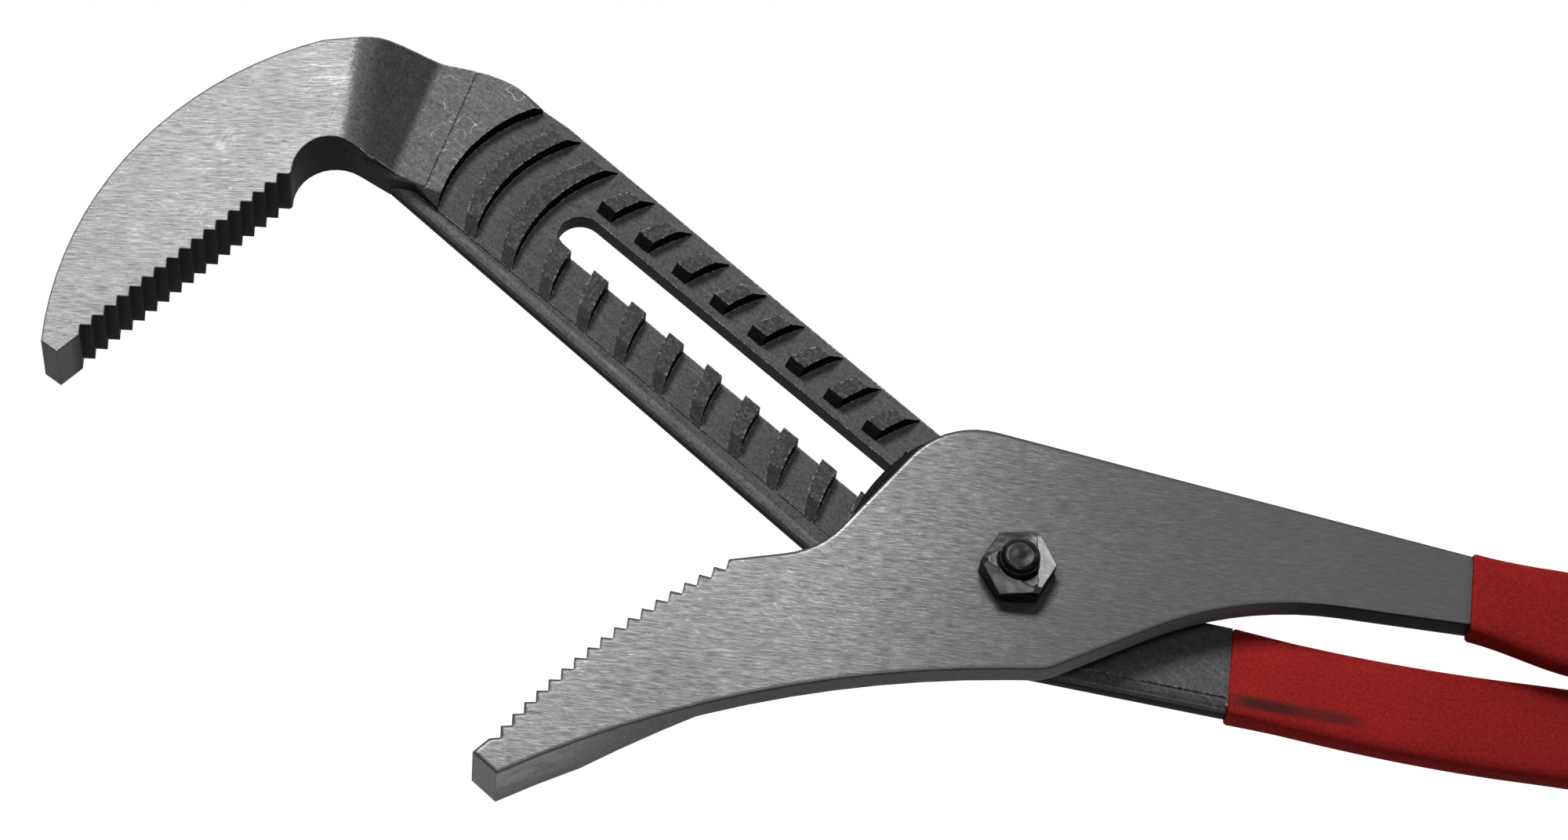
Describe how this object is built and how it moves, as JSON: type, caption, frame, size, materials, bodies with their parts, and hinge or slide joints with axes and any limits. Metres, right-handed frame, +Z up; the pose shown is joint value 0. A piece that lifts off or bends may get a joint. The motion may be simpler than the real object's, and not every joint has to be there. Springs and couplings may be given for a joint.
{
  "type": "water pump pliers",
  "caption": "Large tongue and groove water pump pliers: toothed angled jaws, slotted lever with curved grooves, sliding bolt pivot and dipped grips.",
  "frame": {"origin": "on the pivot axis, at the underside of the bolt head", "axes": "+X along the handles away from the jaws, +Z up through the bolt towards the nut, +Y towards the front lever's handle"},
  "size_m": [0.594, 0.1865, 0.0329],
  "materials": {
    "forged_steel": "dark forged",
    "ground_steel": "ground, brushed",
    "bolt_steel": "satin",
    "nut_steel": "satin",
    "vinyl": "matte dipped"
  },
  "bodies": {
    "slotted_lever": {"slotted_jaw_lever": "forged_steel", "slotted_lever_grip": "vinyl"},
    "pivot": {"pivot_bolt": "bolt_steel", "lock_nut": "nut_steel"},
    "front_lever": {"front_jaw_lever": "ground_steel", "front_lever_grip": "vinyl"}
  },
  "joints": [
    {"name": "pivot_slide", "type": "slide", "parent": "slotted_lever", "child": "pivot", "axis": [0.866, -0.5, 0], "range_m": [-0.1375, 0.0125]},
    {"name": "jaw_hinge", "type": "hinge", "parent": "pivot", "child": "front_lever", "pos_m": [0, 0, 0.0144], "axis": [0, 0, 1], "range_deg": [-2.5, 50]}
  ]
}
